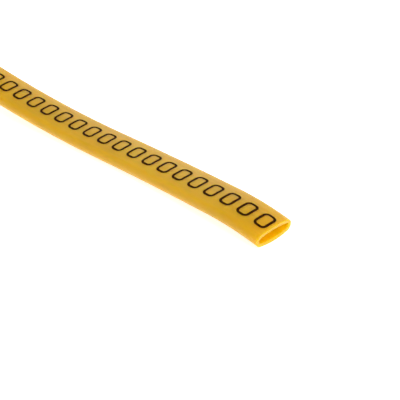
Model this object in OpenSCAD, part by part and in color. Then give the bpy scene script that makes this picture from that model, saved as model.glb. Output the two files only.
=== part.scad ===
// Slide-on cable marker: a flattened oval sleeve of soft plastic, open at both ends, lying in a slack curve.
// X runs along the sleeve to its front mouth, Y across it, Z up. The sleeve rests on z = 0.

/* [Section] */
// Width of the passage that the wire goes through
passage_w = 5.5; // [3:0.1:12]
// Height of the passage at its middle
passage_h = 1.3; // [0.9:0.05:3]
// Radius of the passage at its two narrow edges
passage_edge_r = 0.4; // [0.15:0.05:0.6]
// Thickness of the wall
wall = 0.5; // [0.2:0.05:1]

/* [Length] */
// Length of the sleeve from mouth to mouth, along its middle line
sleeve_len = 60; // [45:1:120]
// Length of the front stretch, which droops to the front mouth
droop_len = 9; // [4:0.5:12]
// Length of the straight stretch behind the droop
level_len = 4; // [1:0.5:8]
// Length of the stretch that sways from the straight one to the low point
sway_len = 18; // [10:0.5:22]

/* [Bends] */
// Degrees that the front stretch turns down
droop_deg = 12; // [2:0.5:20]
// Degrees that the swaying stretch turns, going forwards from the low point
sway_deg = 5.5; // [2:0.1:15]
// Where the swaying stretch turns to, in degrees from straight up round to -Y
sway_to = 64; // [-90:1:90]
// Degrees that the rear stretch turns, going backwards from the low point
rise_deg = 12.3; // [2:0.1:30]
// Where the rear stretch turns to, in degrees from straight up round to -Y
rise_to = 14; // [-90:1:90]

/* [Hidden] */

// Facets of a whole turn, on the narrow edges and on the gentle arcs
edge_facets = 48;
arc_facets = 288;

// The outside of the section lies one wall outside the passage
sleeve_w = passage_w + 2 * wall;
sleeve_h = passage_h + 2 * wall;
sleeve_edge_r = passage_edge_r + wall;

// Spans as [length, degrees turned, degrees from up round to the left of the way that it goes].
// Both lists run outwards from the low point, and the rear one takes the length that is left.
rise_len = sleeve_len - droop_len - level_len - sway_len;
front_spans = [[sway_len, sway_deg, -sway_to], [level_len, 0, 0], [droop_len, droop_deg, 180]];
rear_spans = [[rise_len, rise_deg, rise_to]];

// Frames as 4 x 4 matrices
function move(x, y, z) = [[1, 0, 0, x], [0, 1, 0, y], [0, 0, 1, z], [0, 0, 0, 1]];
function turn_x(a) = [[1, 0, 0, 0], [0, cos(a), -sin(a), 0], [0, sin(a), cos(a), 0], [0, 0, 0, 1]];
function turn_y(a) = [[cos(a), 0, sin(a), 0], [0, 1, 0, 0], [-sin(a), 0, cos(a), 0], [0, 0, 0, 1]];
function turn_z(a) = [[cos(a), -sin(a), 0, 0], [sin(a), cos(a), 0, 0], [0, 0, 1, 0], [0, 0, 0, 1]];

// Radius of a bent span, to a whole micron
function bend_r(span) = round(1000 * span[0] / span[1] * 180 / PI) / 1000;

// Frame at the end of a span that starts at the origin and goes along X
function span_end(span) =
    span[1] == 0
        ? move(span[0], 0, 0)
        : turn_x(-span[2]) * move(0, 0, bend_r(span)) * turn_y(-span[1])
            * move(0, 0, -bend_r(span)) * turn_x(span[2]);

// Frame at the start of span i of a list, or at the end of the list when i is its length
function frame_at(spans, i) = i == 0 ? move(0, 0, 0) : frame_at(spans, i - 1) * span_end(spans[i - 1]);

// Frames of the two lists at the low point, and of the two mouths
front_start = move(0, 0, sleeve_h / 2);
rear_start = front_start * turn_z(180);
front_mouth = front_start * frame_at(front_spans, len(front_spans));
rear_mouth = rear_start * frame_at(rear_spans, len(rear_spans));

// The origin lies midway between the mouths, and midway across the bow that the sleeve makes
centre_x = (front_mouth[0][3] + rear_mouth[0][3]) / 2;
centre_y = front_mouth[1][3] / 2;

// Oval of four arcs that run into each other: two narrow edges of radius r and two crowned broad faces
module oval(w, h, r) {
    edge_x = w / 2 - r;
    crown_r = (edge_x * edge_x + h * h / 4 - r * r) / (h - 2 * r);
    meet_x = edge_x * crown_r / (crown_r - r);
    for (side = [-1, 1])
        translate([side * edge_x, 0])
            circle(r, $fn = edge_facets);
    intersection() {
        translate([0, h / 2 - crown_r])
            circle(crown_r, $fn = arc_facets);
        translate([0, crown_r - h / 2])
            circle(crown_r, $fn = arc_facets);
        square([2 * meet_x, h], center = true);
    }
}

// Section of the sleeve, with its width along x and its height along y
module section() {
    difference() {
        oval(sleeve_w, sleeve_h, sleeve_edge_r);
        oval(passage_w, passage_h, passage_edge_r);
    }
}

// One span of sleeve from the origin along X, straight or bent on a radius
module span_solid(span) {
    if (span[1] == 0)
        rotate([90, 0, 90])
            linear_extrude(span[0])
                section();
    else
        rotate([-span[2], 0, 0])
            translate([0, 0, bend_r(span)])
                rotate([90, 90, 0])
                    rotate_extrude(angle = span[1], $fn = arc_facets)
                        translate([bend_r(span), 0])
                            rotate(90 - span[2])
                                section();
}

// Sets a frame in two steps, first by whole millimetres, so that no digits are lost and spans meet exactly
module place(frame) {
    whole = [for (row = [0:2]) round(frame[row][3])];
    translate(whole)
        multmatrix(move(-whole[0], -whole[1], -whole[2]) * frame)
            children();
}

// Spans of a list, one after the other
module chain(spans) {
    for (i = [0:len(spans) - 1])
        place(frame_at(spans, i))
            span_solid(spans[i]);
}

module sleeve() {
    color("goldenrod")
        translate([-centre_x, -centre_y, 0]) {
            multmatrix(front_start)
                chain(front_spans);
            multmatrix(rear_start)
                chain(rear_spans);
        }
}

sleeve();
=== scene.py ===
"""Looks of the cable marker: a soft yellow oval sleeve with a row of printed zeros, on a white table."""

import math

import bmesh
import bpy
from mathutils import Matrix, Vector


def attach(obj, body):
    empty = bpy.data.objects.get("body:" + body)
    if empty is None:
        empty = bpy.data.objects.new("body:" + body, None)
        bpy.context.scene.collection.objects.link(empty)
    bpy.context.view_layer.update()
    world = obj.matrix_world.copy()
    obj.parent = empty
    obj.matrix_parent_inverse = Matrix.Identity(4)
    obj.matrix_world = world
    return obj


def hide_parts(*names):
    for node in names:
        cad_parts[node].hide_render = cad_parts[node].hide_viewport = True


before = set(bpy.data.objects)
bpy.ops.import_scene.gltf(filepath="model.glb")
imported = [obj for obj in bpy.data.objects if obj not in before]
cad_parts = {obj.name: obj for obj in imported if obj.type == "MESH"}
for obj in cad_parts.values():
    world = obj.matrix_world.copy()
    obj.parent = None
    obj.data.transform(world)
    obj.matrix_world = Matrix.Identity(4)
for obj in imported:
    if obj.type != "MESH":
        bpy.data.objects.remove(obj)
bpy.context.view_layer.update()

MM = 0.001
RIGHT_ANGLE = math.pi / 2
HALF_TURN = Matrix.Rotation(math.pi, 4, "Z")

# Section of the sleeve in mm: a four-arc oval, the same as the CAD part's
SLEEVE_W = 6.5
SLEEVE_H = 2.3
EDGE_R = 0.9
WALL = 0.5
EDGE_Y = SLEEVE_W / 2 - EDGE_R
CROWN_R = (EDGE_Y**2 + (SLEEVE_H / 2) ** 2 - EDGE_R**2) / (SLEEVE_H - 2 * EDGE_R)
CROWN_Z = CROWN_R - SLEEVE_H / 2

# Lengths of the sleeve in mm and its bends in degrees, the same as the CAD part's
SLEEVE_LEN = 60.0
DROOP_LEN = 9.0
LEVEL_LEN = 4.0
SWAY_LEN = 18.0
FRONT_LEN = DROOP_LEN + LEVEL_LEN + SWAY_LEN
RISE_LEN = SLEEVE_LEN - FRONT_LEN
DROOP_DEG = 12.0
SWAY_DEG = 5.5
SWAY_TO = 64.0
RISE_DEG = 12.3
RISE_TO = 14.0
DOWN = 180.0

# Spans outwards from the low point: length, degrees turned, degrees from up to the left of the way it goes
FRONT_SPANS = ((SWAY_LEN, SWAY_DEG, -SWAY_TO), (LEVEL_LEN, 0.0, 0.0), (DROOP_LEN, DROOP_DEG, DOWN))
REAR_SPANS = ((RISE_LEN, RISE_DEG, RISE_TO),)

# Mesh of the sleeve: radius of its rims in mm, steps, and the degrees from which an edge stays sharp
RIM_R = 0.06
RIM_STEPS = 4
LENGTH_STEPS = 240
EDGE_STEPS = 16
CROWN_STEPS = 32
SHARP_FROM = 40

# Slanted front cut in mm: how far its lower lip stands forward, and how far back the skin follows
CUT_LEAN = 0.33
CUT_REACH = 3.0

# Printed zeros in mm, by the middle line of their stroke, along and across the sleeve; steps of an outline
ZERO_PITCH = 3.0
ZERO_COUNT = 20
ZERO_FIRST = 1.53
ZERO_LEN = 1.64
ZERO_W = 2.54
ZERO_CORNER_R = 0.55
ZERO_ACROSS = -0.18
STROKE = 0.36
INK_ABOVE = 0.012
INK_BELOW = 0.03
CORNER_STEPS = 8
SIDE_STEPS = 6

# Noises on the sleeve: stretch along it, scale per mm and detail; the range of most of their values
ON_SLEEVE = "on_sleeve"
CLOUDS = (4, 0.5, 3)
LINES = (40, 6, 2)
WAVES = (2, 0.6, 1)
PATCHES = (1, 3, 2)
NOISE_LOW = 0.3
NOISE_HIGH = 0.7

# Plastic: colours at two levels of the clouds, lowest and highest roughness, how far red, green and blue
# light goes through it, times a scale in mm, and bumps as depth in mm and strength
PLASTIC_COLOURS = ((0.38, (0.77, 0.384, 0.0003)), (0.62, (0.97, 0.424, 0.0016)))
PLASTIC_ROUGHNESS = (0.285, 0.335)
PLASTIC_IOR = 1.43
THROUGH_RADIUS = (0.9, 1.1, 0.1)
THROUGH_SCALE = 2.0
WAVE_BUMP = (0.15, 0.35)
LINE_BUMP = (0.03, 0.5)

# Ink: colours at two levels of the patches, and a matt surface
INK_COLOURS = ((0.35, (0.036, 0.012, 0.0005)), (0.75, (0.055, 0.019, 0.001)))
INK_ROUGHNESS = 0.6
INK_SPECULAR = 0.02

# White table that glows a little: its side in metres, its white, and its glow as it lights and as it is seen
TABLE_SIDE = 20.0
TABLE_ALBEDO = 0.8
TABLE_GLOW = 0.48
TABLE_SEEN_GLOW = 0.73

# Sweep round it: white up to one height and dim from another, along a direction that leans to the front
SWEEP_UP = (0.5, -0.1, 1)
SWEEP_WHITE_TO = 0.16
SWEEP_DIM_FROM = 0.42
SWEEP_WHITE = 1.0
SWEEP_DIM = 0.41

# Lamps in watts and metres: a soft key that shines into the front mouth, and a small one behind the rear end
KEY_POWER = 53.5
KEY_SIDE = 1.8
KEY_AT = (2.35, 0.1, 1.85)
REAR_POWER = 0.3
REAR_SIDE = 0.12
REAR_AT = (-0.26, 0.04, 0.08)

# Camera, found from the zeros and the outline in the photo: place and lens in mm, pitch and yaw in degrees
CAMERA_MM = (91.622, -86.592, 75.645)
CAMERA_PITCH = 33.454
CAMERA_YAW = 40.852
CAMERA_LENS = 91.92
SENSOR_W = 36.0
CLIP_START = 0.001


def bend(length, turn, towards):
    """Frame at the end of a span that starts at the origin and goes along X."""
    if turn == 0:
        return Matrix.Translation((length, 0, 0))
    radius = length / math.radians(turn)
    lean = Matrix.Rotation(math.radians(towards), 4, "X")
    out = Matrix.Translation((0, 0, radius))
    swing = Matrix.Rotation(-math.radians(turn), 4, "Y")
    return lean.inverted() @ out @ swing @ out.inverted() @ lean


def along(spans, distance):
    """Frame at a distance from the start of a row of spans."""
    frame_there = Matrix.Identity(4)
    for length, turn, towards in spans:
        part = min(distance, length)
        frame_there = frame_there @ bend(part, turn * part / length, towards)
        distance -= part
    return frame_there


def from_low_point(s):
    """Frame of the middle line, s mm from the front mouth, as seen from the low point."""
    if s <= FRONT_LEN:
        return along(FRONT_SPANS, FRONT_LEN - s)
    return HALF_TURN @ along(REAR_SPANS, s - FRONT_LEN) @ HALF_TURN


def low_point():
    """Frame of the low point: the part's origin is midway between the mouths and midway across the bow."""
    front = from_low_point(0).translation
    rear = from_low_point(SLEEVE_LEN).translation
    return Matrix.Translation((-(front.x + rear.x) / 2, -front.y / 2, SLEEVE_H / 2))


LOW_POINT = low_point()


def station(s):
    """Frame of the middle line in the part's frame, in mm: X forwards, Y to the left, Z up."""
    return LOW_POINT @ from_low_point(s)


def on_arc(centre, r, t):
    """Point of an arc at an angle."""
    return (centre[0] + r * math.cos(t), centre[1] + r * math.sin(t))


def between(start, end, share):
    """Point of a straight line at a share of its length."""
    return (start[0] + (end[0] - start[0]) * share, start[1] + (end[1] - start[1]) * share)


def oval(inset):
    """Outline of the section, inset from the outside, counter-clockwise as seen from the front."""
    meet = math.atan2(CROWN_Z, EDGE_Y)
    edge_r = EDGE_R - inset
    crown_r = CROWN_R - inset
    arcs = (
        ((EDGE_Y, 0), edge_r, -meet, meet, EDGE_STEPS),
        ((0, -CROWN_Z), crown_r, meet, math.pi - meet, CROWN_STEPS),
        ((-EDGE_Y, 0), edge_r, math.pi - meet, math.pi + meet, EDGE_STEPS),
        ((0, CROWN_Z), crown_r, math.pi + meet, 2 * math.pi - meet, CROWN_STEPS),
    )
    points = []
    for centre, r, start, end, steps in arcs:
        for i in range(steps):
            points.append(on_arc(centre, r, start + (end - start) * i / steps))
    return points


def rim_profile():
    """Rounded cut of the wall, from its outside to its inside, as (depth from the mouth, inset)."""
    turns = [RIGHT_ANGLE * i / RIM_STEPS for i in range(RIM_STEPS + 1)]
    outer = [(RIM_R * (1 - math.sin(t)), RIM_R * (1 - math.cos(t))) for t in turns]
    inner = [(depth, WALL - inset) for depth, inset in reversed(outer)]
    return outer + inner


def sleeve_rings():
    """Loop round the wall: along the outside, round the rear rim, back inside, round the front rim."""
    step = (SLEEVE_LEN - 2 * RIM_R) / LENGTH_STEPS
    stations = [RIM_R + step * i for i in range(1, LENGTH_STEPS)]
    rim = rim_profile()
    rings = [(s, 0.0) for s in stations]
    rings += [(SLEEVE_LEN - depth, inset) for depth, inset in rim]
    rings += [(s, WALL) for s in reversed(stations)]
    rings += list(reversed(rim))
    return rings


def cut_lean(s, z):
    """How far the slanted front cut brings a point forward, which is most at the lower lip."""
    near_mouth = max(0.0, 1 - s / CUT_REACH)
    below_top = 0.5 - z / SLEEVE_H
    return CUT_LEAN * near_mouth**2 * below_top**2


def grid_faces(rows, columns, first=0):
    """Quads of a grid that closes on itself both ways."""
    faces = []
    for i in range(rows):
        here = first + i * columns
        beyond = first + (i + 1) % rows * columns
        for j in range(columns):
            k = (j + 1) % columns
            faces.append((here + j, beyond + j, beyond + k, here + k))
    return faces


def add_object(name, data):
    """Object in the scene's own collection."""
    added = bpy.data.objects.new(name, data)
    bpy.context.scene.collection.objects.link(added)
    return added


def turn_faces_outwards(mesh):
    """Turns the faces of a closed mesh so that all look outwards."""
    work = bmesh.new()
    work.from_mesh(mesh)
    bmesh.ops.recalc_face_normals(work, faces=work.faces)
    work.to_mesh(mesh)
    work.free()


def mesh_object(name, points, local, faces, material):
    """Mesh from points in mm, with the points' own places along and across the sleeve for its material."""
    mesh = bpy.data.meshes.new(name)
    mesh.from_pydata([Vector(p) * MM for p in points], [], faces)
    attribute = mesh.attributes.new(ON_SLEEVE, "FLOAT_VECTOR", "POINT")
    attribute.data.foreach_set("vector", [c for p in local for c in p])
    turn_faces_outwards(mesh)
    mesh.shade_smooth()
    mesh.set_sharp_from_angle(angle=math.radians(SHARP_FROM))
    mesh.materials.append(material)
    return add_object(name, mesh)


def make_sleeve(material):
    """Closed skin of the sleeve, outside and inside."""
    points = []
    local = []
    rings = sleeve_rings()
    for s, inset in rings:
        at = station(s)
        ahead = Vector((at[0][0], at[1][0], 0))
        for y, z in oval(inset):
            points.append(at @ Vector((0, y, z)) + ahead * cut_lean(s, z))
            local.append((s, y, z))
    faces = grid_faces(len(rings), len(points) // len(rings))
    return mesh_object("sleeve_skin", points, local, faces, material)


def zero_outline(offset):
    """Rounded rectangle round the middle of a zero, offset outwards from the stroke's middle line."""
    half_len = ZERO_LEN / 2 - ZERO_CORNER_R
    half_w = ZERO_W / 2 - ZERO_CORNER_R
    r = ZERO_CORNER_R + offset
    corners = ((half_len, half_w), (-half_len, half_w), (-half_len, -half_w), (half_len, -half_w))
    points = []
    for k, corner in enumerate(corners):
        for i in range(CORNER_STEPS + 1):
            points.append(on_arc(corner, r, RIGHT_ANGLE * (k + i / CORNER_STEPS)))
        next_corner = corners[(k + 1) % len(corners)]
        for i in range(1, SIDE_STEPS):
            centre = between(corner, next_corner, i / SIDE_STEPS)
            points.append(on_arc(centre, r, RIGHT_ANGLE * (k + 1)))
    return points


def on_top(s, y, lift):
    """Point on the sleeve's top face, lifted off it, s from the front mouth and y to the left."""
    tilt = math.asin(y / CROWN_R)
    r = CROWN_R + lift
    return station(s) @ Vector((0, r * math.sin(tilt), r * math.cos(tilt) - CROWN_Z))


def make_zeros(material):
    """Row of zeros, each a thin closed band of ink that lies in the top face."""
    half = STROKE / 2
    loops = ((half, INK_ABOVE), (-half, INK_ABOVE), (-half, -INK_BELOW), (half, -INK_BELOW))
    points = []
    local = []
    faces = []
    for k in range(ZERO_COUNT):
        middle = ZERO_FIRST + ZERO_PITCH * k
        first = len(points)
        for offset, lift in loops:
            outline = zero_outline(offset)
            for a, b in outline:
                points.append(on_top(middle + a, ZERO_ACROSS + b, lift))
                local.append((middle + a, ZERO_ACROSS + b, lift))
        faces += grid_faces(len(loops), len(outline), first)
    return mesh_object("printed_zeros", points, local, faces, material)


def new_material(name):
    """Material with nodes of its own."""
    material = bpy.data.materials.new(name)
    material.use_nodes = True
    return material


def set_inputs(node, values):
    """Sets inputs of a node, by name or by number."""
    for socket, value in values.items():
        node.inputs[socket].default_value = value


def noise_on_sleeve(tree, stretch, scale, detail):
    """Noise in the sleeve's own straightened place, stretched along it."""
    place = tree.nodes.new("ShaderNodeAttribute")
    place.attribute_name = ON_SLEEVE
    mapping = tree.nodes.new("ShaderNodeMapping")
    set_inputs(mapping, {"Scale": (1 / stretch, 1, 1)})
    texture = tree.nodes.new("ShaderNodeTexNoise")
    set_inputs(texture, {"Scale": scale, "Detail": detail})
    tree.links.new(place.outputs["Vector"], mapping.inputs["Vector"])
    tree.links.new(mapping.outputs["Vector"], texture.inputs["Vector"])
    return texture.outputs["Fac"]


def ramp(tree, value, stops):
    """Colour ramp of two (place, colour) stops on a value."""
    node = tree.nodes.new("ShaderNodeValToRGB")
    for element, (place, colour) in zip(node.color_ramp.elements, stops):
        element.position = place
        element.color = (*colour, 1)
    tree.links.new(value, node.inputs["Fac"])
    return node.outputs["Color"]


def spread(tree, value, low, high):
    """Value from a noise, spread from low to high."""
    node = tree.nodes.new("ShaderNodeMapRange")
    set_inputs(node, {"From Min": NOISE_LOW, "From Max": NOISE_HIGH, "To Min": low, "To Max": high})
    tree.links.new(value, node.inputs["Value"])
    return node.outputs["Result"]


def bump(tree, height, depth, strength):
    """Bump node of a depth in mm."""
    node = tree.nodes.new("ShaderNodeBump")
    set_inputs(node, {"Distance": depth * MM, "Strength": strength})
    tree.links.new(height, node.inputs["Height"])
    return node


def plastic():
    """Soft yellow PVC: light goes through its thin wall, and its skin has faint lines and waves."""
    material = new_material("yellow_pvc")
    tree = material.node_tree
    shader = tree.nodes["Principled BSDF"]
    clouds = noise_on_sleeve(tree, *CLOUDS)
    lines = noise_on_sleeve(tree, *LINES)
    waves = noise_on_sleeve(tree, *WAVES)
    wavy = bump(tree, waves, *WAVE_BUMP)
    lined = bump(tree, lines, *LINE_BUMP)
    tree.links.new(wavy.outputs["Normal"], lined.inputs["Normal"])
    tree.links.new(lined.outputs["Normal"], shader.inputs["Normal"])
    tree.links.new(ramp(tree, clouds, PLASTIC_COLOURS), shader.inputs["Base Color"])
    tree.links.new(spread(tree, lines, *PLASTIC_ROUGHNESS), shader.inputs["Roughness"])
    set_inputs(shader, {
        "IOR": PLASTIC_IOR,
        "Subsurface Weight": 1.0,
        "Subsurface Radius": THROUGH_RADIUS,
        "Subsurface Scale": THROUGH_SCALE * MM,
    })
    return material


def ink():
    """Brownish black ink, a little uneven."""
    material = new_material("marking_ink")
    tree = material.node_tree
    shader = tree.nodes["Principled BSDF"]
    patches = noise_on_sleeve(tree, *PATCHES)
    tree.links.new(ramp(tree, patches, INK_COLOURS), shader.inputs["Base Color"])
    set_inputs(shader, {"Roughness": INK_ROUGHNESS, "Specular IOR Level": INK_SPECULAR})
    return material


def seen_or_lit(tree, lit, seen):
    """One strength for light that falls on the object, another for what is seen directly or in a gloss."""
    path = tree.nodes.new("ShaderNodeLightPath")
    any_seen = path.outputs["Is Camera Ray"]
    for kind in ("Is Glossy Ray", "Is Transmission Ray"):
        either = tree.nodes.new("ShaderNodeMath")
        either.operation = "MAXIMUM"
        tree.links.new(any_seen, either.inputs[0])
        tree.links.new(path.outputs[kind], either.inputs[1])
        any_seen = either.outputs["Value"]
    strength = tree.nodes.new("ShaderNodeMapRange")
    set_inputs(strength, {"To Min": lit, "To Max": seen})
    tree.links.new(any_seen, strength.inputs["Value"])
    return strength.outputs["Result"]


def white_table():
    """White surface that also lets some light through from below."""
    material = new_material("white_table")
    tree = material.node_tree
    tree.nodes.remove(tree.nodes["Principled BSDF"])
    diffuse = tree.nodes.new("ShaderNodeBsdfDiffuse")
    set_inputs(diffuse, {"Color": (TABLE_ALBEDO, TABLE_ALBEDO, TABLE_ALBEDO, 1)})
    glow = tree.nodes.new("ShaderNodeEmission")
    tree.links.new(seen_or_lit(tree, TABLE_GLOW, TABLE_SEEN_GLOW), glow.inputs["Strength"])
    both = tree.nodes.new("ShaderNodeAddShader")
    tree.links.new(diffuse.outputs["BSDF"], both.inputs[0])
    tree.links.new(glow.outputs["Emission"], both.inputs[1])
    tree.links.new(both.outputs["Shader"], tree.nodes["Material Output"].inputs["Surface"])
    return material


def make_table():
    """Flat table that the sleeve lies on."""
    half = TABLE_SIDE / 2
    corners = [(-half, -half, 0), (half, -half, 0), (half, half, 0), (-half, half, 0)]
    mesh = bpy.data.meshes.new("table")
    mesh.from_pydata(corners, [], [(0, 1, 2, 3)])
    mesh.materials.append(white_table())
    table = add_object("table", mesh)


def make_sweep():
    """White surround behind the rear end and near the horizon, dimmer overhead and towards the front."""
    world = bpy.data.worlds.new("studio")
    world.use_nodes = True
    tree = world.node_tree
    place = tree.nodes.new("ShaderNodeTexCoord")
    height = tree.nodes.new("ShaderNodeVectorMath")
    height.operation = "DOT_PRODUCT"
    set_inputs(height, {1: SWEEP_UP})
    level = tree.nodes.new("ShaderNodeMapRange")
    level.interpolation_type = "SMOOTHSTEP"
    set_inputs(level, {"From Min": SWEEP_WHITE_TO, "From Max": SWEEP_DIM_FROM})
    set_inputs(level, {"To Min": SWEEP_WHITE, "To Max": SWEEP_DIM})
    tree.links.new(place.outputs["Generated"], height.inputs[0])
    tree.links.new(height.outputs["Value"], level.inputs["Value"])
    tree.links.new(level.outputs["Result"], tree.nodes["Background"].inputs["Color"])
    bpy.context.scene.world = world


def make_lamp(name, place, side, power, glossy):
    """Square soft lamp that faces the sleeve, and that glosses may leave out."""
    data = bpy.data.lights.new(name, "AREA")
    data.energy = power
    data.size = side
    lamp = add_object(name, data)
    lamp.location = place
    lamp.rotation_euler = (-Vector(place)).to_track_quat("-Z", "Y").to_euler()
    lamp.visible_glossy = glossy


def make_camera():
    """Camera at the photo's viewing angle."""
    data = bpy.data.cameras.new("camera")
    data.sensor_width = SENSOR_W
    data.lens = CAMERA_LENS
    data.clip_start = CLIP_START
    camera = add_object("camera", data)
    camera.location = Vector(CAMERA_MM) * MM
    camera.rotation_euler = (RIGHT_ANGLE - math.radians(CAMERA_PITCH), 0, math.radians(CAMERA_YAW))
    bpy.context.scene.camera = camera


bpy.context.scene.view_settings.view_transform = "Standard"

sleeve = make_sleeve(plastic())
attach(sleeve, "root")
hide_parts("sleeve")

zeros = make_zeros(ink())
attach(zeros, "root")

make_table()
make_sweep()
make_lamp("key", KEY_AT, KEY_SIDE, KEY_POWER, glossy=True)
make_lamp("rear_lamp", REAR_AT, REAR_SIDE, REAR_POWER, glossy=False)
make_camera()
